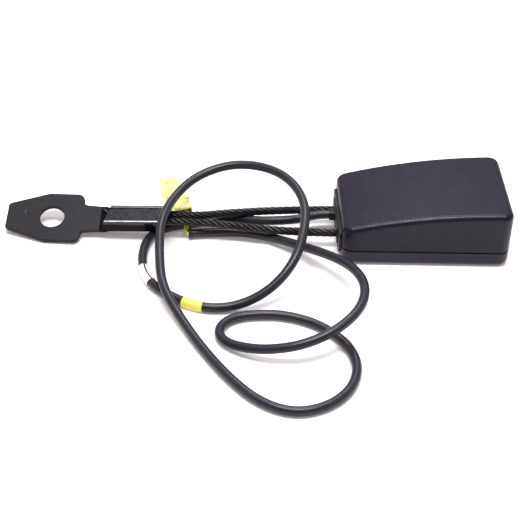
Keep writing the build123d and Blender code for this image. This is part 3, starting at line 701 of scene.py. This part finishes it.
connector_place = shifted(*CONNECTOR_ENTRY, 0.0) @ turned(CONNECTOR_TURN, "Z")
shell = block(0, SHELL_LENGTH, SHELL_NEAR, SHELL_FAR, 0, SHELL_HIGH, SHELL_CORNER)
grip_grooves = []
for start in GRIP_STARTS:
    grip_grooves.append(block(start, start + GRIP_WIDTH, SHELL_FAR - GRIP_DEPTH,
                              SHELL_FAR + OVERRUN, GRIP_LOW, GRIP_HIGH))
    grip_grooves.append(block(start, start + GRIP_WIDTH, SHELL_NEAR - OVERRUN,
                              SHELL_NEAR + GRIP_DEPTH, GRIP_LOW, GRIP_HIGH))
mouth = block(SHELL_LENGTH - MOUTH_DEPTH, SHELL_LENGTH + OVERRUN, SHELL_NEAR + MOUTH_SIDE_WALL,
              SHELL_FAR - MOUTH_SIDE_WALL, MOUTH_FLOOR_WALL, SHELL_HIGH - MOUTH_FLOOR_WALL,
              bevel=0.4)
latch_track = block(ARM_START - ARM_GAP, TRACK_END, ARM_NEAR - ARM_GAP, ARM_FAR + ARM_GAP,
                    TRACK_FLOOR, SHELL_HIGH + OVERRUN)
wire_entry = block(-OVERRUN, ENTRY_DEPTH, SHELL_NEAR + ENTRY_SIDE_WALL,
                   SHELL_FAR - ENTRY_SIDE_WALL, ENTRY_LOW, ENTRY_HIGH, bevel=0.5)
shell = combine(shell, grip_grooves + [mouth, latch_track, wire_entry], "DIFFERENCE")
collar = block(COLLAR_START, COLLAR_END, COLLAR_NEAR, COLLAR_FAR, 0, COLLAR_HIGH, bevel=0.35)
latch_guards = [block(GUARD_START, ARM_END, near, near + GUARD_WIDTH, GUARD_LOW, GUARD_HIGH,
                      bevel=0.2) for near in GUARD_SIDES]
shell = combine(shell, [collar] + latch_guards, "UNION")
connector = name_piece(shell, "connector_shell", connector_place)
fit(connector, "buckle", connector_plastic, "yellow_moulding", "connector_housing")

arm = block(ARM_START, ARM_END, ARM_NEAR, ARM_FAR, ARM_LOW, ARM_HIGH, bevel=0.2)
catch = block(CATCH_START, ARM_END, ARM_NEAR, ARM_FAR, RIB_ROOT, CATCH_HIGH, bevel=0.3)
thumb_ribs = [block(start, end, ARM_NEAR, ARM_FAR, RIB_ROOT, top, bevel=0.2)
              for start, end, top in THUMB_RIBS]
arm = combine(arm, [catch] + thumb_ribs, "UNION")
connector_latch = name_piece(arm, "connector_latch", connector_place)
fit(connector_latch, "buckle", connector_plastic, "yellow_moulding", "connector_lock")
connector_pins = welded_copy("connector_terminals", "connector_pins", contact_tin, "tinned_brass")

seals = []
for side in SEAL_SIDES:
    seals.append(rod(SEAL_RADIUS, SEAL_LENGTH, vertices=24))
    seals[-1].data.transform(shifted(SEAL_MIDDLE, side, SEAL_HEIGHT) @ turned(90.0, "Y"))
seals = name_piece(combine(seals[0], seals[1:], "UNION"), "wire_seals", connector_place)
fit(seals, "buckle", seal_rubber, "soft_black")

# ---------------------------------------------------------------- anchor plate and sleeve
# The anchor's own frame has its origin on the plate's top face, in the middle of the bolt hole.
anchor_place = (Matrix.Translation(ANCHOR_HOLE) @ turned(ANCHOR_YAW, "Z")
                @ turned(ANCHOR_PITCH, "Y") @ turned(ANCHOR_ROLL, "X"))


def on_anchor(along, across, above):
    """Where a point of the anchor's frame lies on the part, all in millimetres."""
    return tuple((anchor_place @ Vector((along * MM, across * MM, above * MM))) / MM)


def post(along, across, radius, low, high):
    """Upright cylinder in the anchor's frame."""
    piece = rod(radius, high - low, vertices=48)
    piece.data.transform(shifted(along, across, (low + high) / 2))
    return piece


def slanted(x, lean, skew):
    """Large block whose far face cuts a tube across at x, leaning back as it rises."""
    cutter = block(x - CUT_REACH, x, -CUT_REACH, CUT_REACH, -CUT_REACH, CUT_REACH)
    cutter.data.transform(shifted(x, 0, -PLATE_THICKNESS) @ turned(lean, "Y") @ turned(skew, "Z")
                          @ shifted(-x, 0, PLATE_THICKNESS))
    return cutter


# The near upper edge is a wide round, and the rest of the section is a box.
crown = rod(CROWN_RADIUS, PAST_END - PAST_START, vertices=240)
crown.data.transform(shifted((PAST_START + PAST_END) / 2, *CROWN_CENTRE) @ turned(90.0, "Y"))
far_side = block(PAST_START, PAST_END, CROWN_CENTRE[0], PAST_SIDE, -PAST_SIDE, PAST_SIDE)
underside = block(PAST_START, PAST_END, -PAST_SIDE, PAST_SIDE, -PAST_SIDE, CROWN_CENTRE[1])
crown = combine(crown, [far_side, underside], "UNION")
blank = block(BLANK_START, BLANK_END, SLEEVE_NEAR, SLEEVE_FAR, SLEEVE_LOW, SLEEVE_HIGH,
              SLEEVE_CORNER)
sleeve = combine(blank, [crown], "INTERSECT")
bore = block(PAST_START, PAST_END, BORE_NEAR, BORE_FAR, BORE_LOW, BORE_HIGH, BORE_CORNER)
start_cut = slanted(SLEEVE_START, SLEEVE_START_LEAN, SLEEVE_START_SKEW)
end_cut = block(SLEEVE_END, CUT_END, -CUT_REACH, CUT_REACH, -CUT_REACH, CUT_REACH)
seam = block(PAST_START, PAST_END, SEAM_NEAR, SEAM_FAR, SEAM_FLOOR, PAST_SIDE)
sleeve = combine(sleeve, [bore, start_cut, end_cut, seam], "DIFFERENCE")
sleeve.data.transform(shifted(SLEEVE_PIVOT, 0, 0) @ turned(SLEEVE_TURN, "Z")
                      @ shifted(-SLEEVE_PIVOT, 0, 0))

# The tongue runs on from the blade under the sleeve, with two round shoulders.
shoulders = [post(SHOULDER_X, side, SHOULDER_RADIUS, TONGUE_LOW, TONGUE_HIGH)
             for side in (-SHOULDER_SIDE, SHOULDER_SIDE)]
neck = block(NECK_START, NECK_END, -NECK_HALF, NECK_HALF, TONGUE_LOW, TONGUE_HIGH)
tongue = block(TONGUE_START, SHOULDER_X, -TONGUE_HALF, TONGUE_HALF, TONGUE_LOW, TONGUE_HIGH)
tongue = combine(tongue, [neck] + shoulders, "UNION")
sleeve = combine(sleeve, [tongue], "UNION")
sleeve = name_piece(sleeve, "anchor_sleeve", anchor_place, SLEEVE_SMOOTH_ANGLE)
ease_edges(sleeve, SLEEVE_EASE, SLEEVE_SMOOTH_ANGLE)
fit(sleeve, "buckle", sleeve_shade_and_highlight, "black_plate")

# A raised crease where the rolled wall leaves the plate, its top face turned to the light
crease_start = Vector(on_anchor(*CREASE_START)) * MM
crease_end = Vector(on_anchor(*CREASE_END)) * MM
crease_face = Vector(CREASE_FACE).normalized()
crease_run = crease_end - crease_start
crease_run = (crease_run - crease_face * crease_run.dot(crease_face)).normalized()
crease_turn = Matrix((crease_run, crease_face.cross(crease_run), crease_face)).transposed()
crease_place = Matrix.Translation((crease_start + crease_end) / 2) @ crease_turn.to_4x4()
crease = block(-CREASE_HALF_LENGTH, CREASE_HALF_LENGTH, -CREASE_HALF_WIDTH, CREASE_HALF_WIDTH,
               -CREASE_DEPTH, 0.0, CREASE_CORNER)
crease = name_piece(crease, "sleeve_crease", crease_place, SLEEVE_SMOOTH_ANGLE)
fit(crease, "buckle", sleeve_shade_and_highlight, "black_plate")

# ---------------------------------------------------------------- wire rope
# Two legs from the sleeve, joined by a half-octagon that the curve rounds into the loop.
eighth = math.radians(22.5)
corner = ROPE_LOOP_HALF * math.tan(eighth)
rope_loop = [
    (ROPE_LOOP_X - corner, ROPE_LOOP_HALF), (ROPE_LOOP_X + corner, ROPE_LOOP_HALF),
    (ROPE_LOOP_X + ROPE_LOOP_HALF, corner), (ROPE_LOOP_X + ROPE_LOOP_HALF, -corner),
    (ROPE_LOOP_X + corner, -ROPE_LOOP_HALF), (ROPE_LOOP_X - corner, -ROPE_LOOP_HALF),
]
rope_points = [
    on_anchor(33.0, 1.4, 2.2), on_anchor(62.0, 2.5, 2.2), (-30.0, 1.4, 9.9), (-13.0, 4.4, 10.0),
    (15.0, 8.4, 8.8), (34.4, ROPE_LOOP_HALF, ROPE_LOOP_HEIGHT),
    (46.0, ROPE_LOOP_HALF, ROPE_LOOP_HEIGHT),
    *((x, y, ROPE_LOOP_HEIGHT) for x, y in rope_loop),
    (46.0, -ROPE_LOOP_HALF, ROPE_LOOP_HEIGHT), (34.4, -ROPE_LOOP_HALF, ROPE_LOOP_HEIGHT),
    (8.0, -8.8, 8.4), (-15.0, -5.4, 9.2), (-22.0, -4.0, 9.4), on_anchor(62.0, -1.8, 2.2),
    on_anchor(33.0, -2.9, 2.2),
]
rope_core = route_curve("rope_core", rope_points, 0.0, sides=3, steps=16)
rope_line = walk(read_line(rope_core), ROPE_STEP * MM)
bpy.data.objects.remove(rope_core)


def helix(line, lay, phase, radius):
    """Points wound round a line of rope steps, a turn in each lay, left-handed if negative."""
    points = []
    for i, (here, (side, up)) in enumerate(zip(line, line_frames(line))):
        angle = 2 * math.pi * (i * ROPE_STEP * MM / lay + phase)
        points.append(here + (side * math.cos(angle) + up * math.sin(angle)) * radius)
    return points


def rope_wires(line, strand_lay, wire_lay):
    """Six strands laid right-handed round a core, each of six wires laid the other way."""
    strand_radius = ROPE_DIAMETER / 3 * MM
    wire_radius = strand_radius / 3
    runs = []
    for strand in range(6):
        centres = helix(line, strand_lay, strand / 6, strand_radius)
        for wire in range(6):
            runs.append(helix(centres, -wire_lay, wire / 6, wire_radius))
    return runs


wires = rope_wires(rope_line, STRAND_LAY * MM, WIRE_LAY * MM)
rope = to_mesh(poly_curve("wire_rope_strands", wires, ROPE_WIRE_RADIUS, sides=1),
               WIRE_SMOOTH_ANGLE)
fit(rope, "buckle", rope_coating, "black_rope", "wire_rope")
rope_heart = to_mesh(poly_curve("wire_rope_core", [rope_line], ROPE_HEART_RADIUS, sides=2),
                     WIRE_SMOOTH_ANGLE)
fit(rope_heart, "buckle", rope_coating, "black_rope")

# ---------------------------------------------------------------- CAD pieces with their finishes
node_finish = {
    "upper_cover": (casing_plastic, "black_moulding", 0.1),
    "lower_cover": (lower_cover_painted_light, "black_moulding", 0.1),
    "cover_screws": (frame_steel, "zinc_steel", 0.15),
    "rear_bush": (bush_rubber, "soft_black", 0.35),
    "tongue_guide": (guide_plastic, "black_moulding", 0.3),
    "press_button": (button_plastic, "red_button", 0.35),
    "lock_bar": (pin_steel, "zinc_steel", 0.3),
    "frame": (frame_steel, "zinc_steel", 0.25),
    "latch": (frame_steel, "zinc_steel", 0.25),
    "latch_pin": (pin_steel, "zinc_steel", 0.25),
    "ejector": (ejector_plastic, "white_moulding", 0.2),
    "rope_saddle": (frame_steel, "zinc_steel", 0.3),
    "saddle_rivet": (pin_steel, "zinc_steel", 0.3),
    "switch_housing": (switch_plastic, "switch_moulding", 0.2),
    "switch_plunger": (ejector_plastic, "white_moulding", 0.15),
    "switch_terminals": (contact_tin, "tinned_brass", 0.08),
}
pieces = {}
for node, (finish, slot, ease_mm) in node_finish.items():
    pieces[node] = welded_copy(node, node + "_piece", finish, slot, ease_mm=ease_mm)

# The lower cover's rim sinks a little, so that the parting line reads as a fine dark gap.
for vertex in pieces["lower_cover"].data.vertices:
    if abs(vertex.co.z - PARTING_HEIGHT * MM) < PARTING_TOLERANCE * MM:
        vertex.co.z -= PARTING_GAP * MM

blade = welded_copy("anchor_plate", "anchor_blade", plate_coating, "black_plate")
trim = block(BLADE_END, CUT_END, -CUT_REACH, CUT_REACH, -CUT_REACH, CUT_REACH)
trim.data.transform(anchor_place)
combine(blade, [trim], "DIFFERENCE")
ease_edges(blade, BLADE_EASE)

# ---------------------------------------------------------------- press face of the button
press_face = block(from_rear(BUTTON_FACE_REAR), from_rear(BUTTON_FACE_FRONT), -BUTTON_HALF,
                   BUTTON_HALF, BUTTON_LOW, BUTTON_HIGH, BUTTON_FACE_CORNER)
bpy.ops.object.select_all(action="DESELECT")
bpy.ops.mesh.primitive_uv_sphere_add(segments=64, ring_count=32, radius=MM)
thumb = bpy.context.view_layer.objects.active
thumb.data.transform(shifted(from_rear(THUMB_CENTRE), 0, (BUTTON_LOW + BUTTON_HIGH) / 2)
                     @ Matrix.Diagonal((*THUMB_REACH, 1.0)))
combine(press_face, [thumb], "DIFFERENCE")
name_piece(press_face, "button_face")
fit(press_face, "button", button_plastic, "red_button")

# ---------------------------------------------------------------- springs
def coil_spring(name, start, end):
    """Round wire wound between two points along X, in millimetres, its end turns closer."""
    length = end[0] - start[0] - 2 * SPRING_WIRE_RADIUS
    run = []
    steps = SPRING_TURNS * SPRING_TURN_STEPS
    for i in range(steps + 1):
        share = i / steps
        angle = 2 * math.pi * SPRING_TURNS * share
        eased = share - SPRING_END_TURN * math.sin(2 * math.pi * share)
        run.append(Vector((start[0] + SPRING_WIRE_RADIUS + length * eased,
                           start[1] + SPRING_COIL_RADIUS * math.cos(angle),
                           start[2] + SPRING_COIL_RADIUS * math.sin(angle))) * MM)
    return to_mesh(poly_curve(name, [run], SPRING_WIRE_RADIUS, sides=3), WIRE_SMOOTH_ANGLE)


# A return spring on each side of the button.
for side, name, nodes in ((-1, "button_spring_right", ("button_springs",)),
                          (1, "button_spring_left", ())):
    spring = coil_spring(name, (from_rear(RETURN_REAR), RETURN_SIDE * side, RETURN_HEIGHT),
                         (from_rear(RETURN_REAR + RETURN_LENGTH), RETURN_SIDE * side,
                          RETURN_HEIGHT))
    fit(spring, "buckle", spring_steel, "spring_steel", *nodes)
    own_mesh(spring)
eject_spring = coil_spring("ejector_coil", (from_rear(EJECT_REAR), 0, EJECT_HEIGHT),
                           (from_rear(EJECT_FRONT), 0, EJECT_HEIGHT))
fit(eject_spring, "buckle", spring_steel, "spring_steel", "ejector_spring")
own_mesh(eject_spring)
welded_copy("latch_spring", "latch_spring_piece", spring_steel, "spring_steel")

# ---------------------------------------------------------------- floor and light
FLOOR_SIZE, FLOOR_HEIGHT = 6.0, -0.0004         # in metres

bpy.ops.object.select_all(action="DESELECT")
bpy.ops.mesh.primitive_plane_add(size=FLOOR_SIZE, location=(0, 0, FLOOR_HEIGHT))
floor = bpy.context.view_layer.objects.active
floor.name = "studio_floor"
floor_paper, floor_tree, floor_shader, floor_where = new_finish("floor_paper")
blend_colours(floor_tree, floor_shader, noise(floor_tree, floor_where, 60.0), (0.90, 0.89, 0.88),
              (0.92, 0.91, 0.90))
floor_shader.inputs["Roughness"].default_value = 0.9
floor_shader.inputs["Specular IOR Level"].default_value = 0.2
floor_shader.inputs["Emission Color"].default_value = (1.0, 0.93, 0.93, 1.0)
floor_shader.inputs["Emission Strength"].default_value = 0.13
floor.data.materials.append(floor_paper)


def soft_light(name, place, aim, size, power, tint=(1.0, 1.0, 1.0)):
    """Rectangular light panel, its sizes in metres and its power in watts."""
    data = bpy.data.lights.new(name, "AREA")
    data.shape = "RECTANGLE"
    data.size, data.size_y = size
    data.energy = power
    data.color = tint
    light = bpy.data.objects.new(name, data)
    bpy.context.scene.collection.objects.link(light)
    light.location = place
    light.rotation_euler = (Vector(aim) - Vector(place)).to_track_quat("-Z", "Y").to_euler()


soft_light("key_panel", place=(0.0, -0.17, 1.35), aim=(0, -0.03, 0), size=(0.8, 0.3), power=14.0)
soft_light("far_window", place=(0.05, 0.75, 1.25), aim=(0, -0.03, 0), size=(0.7, 0.45), power=6.5,
           tint=(0.95, 0.97, 1.0))
bpy.context.scene.view_settings.view_transform = "Standard"
bpy.context.scene.view_settings.look = "Medium High Contrast"
world = bpy.data.worlds.new("studio_world")
bpy.context.scene.world = world
world.use_nodes = True
sky = world.node_tree.nodes["Background"]
sky.inputs["Color"].default_value = (1.0, 0.90, 0.93, 1.0)
direction = world.node_tree.nodes.new("ShaderNodeTexCoord")
parts = world.node_tree.nodes.new("ShaderNodeSeparateXYZ")
world.node_tree.links.new(direction.outputs["Generated"], parts.inputs["Vector"])
# The surroundings are darker on the camera's side, -Y, than on the far side.
wall_light = spread_value(world.node_tree, parts.outputs["Y"], found=(-0.7, 0.3),
                          wanted=(0.34, 0.58))
world.node_tree.links.new(wall_light.outputs["Result"], sky.inputs["Strength"])

bpy.ops.object.select_all(action="DESELECT")
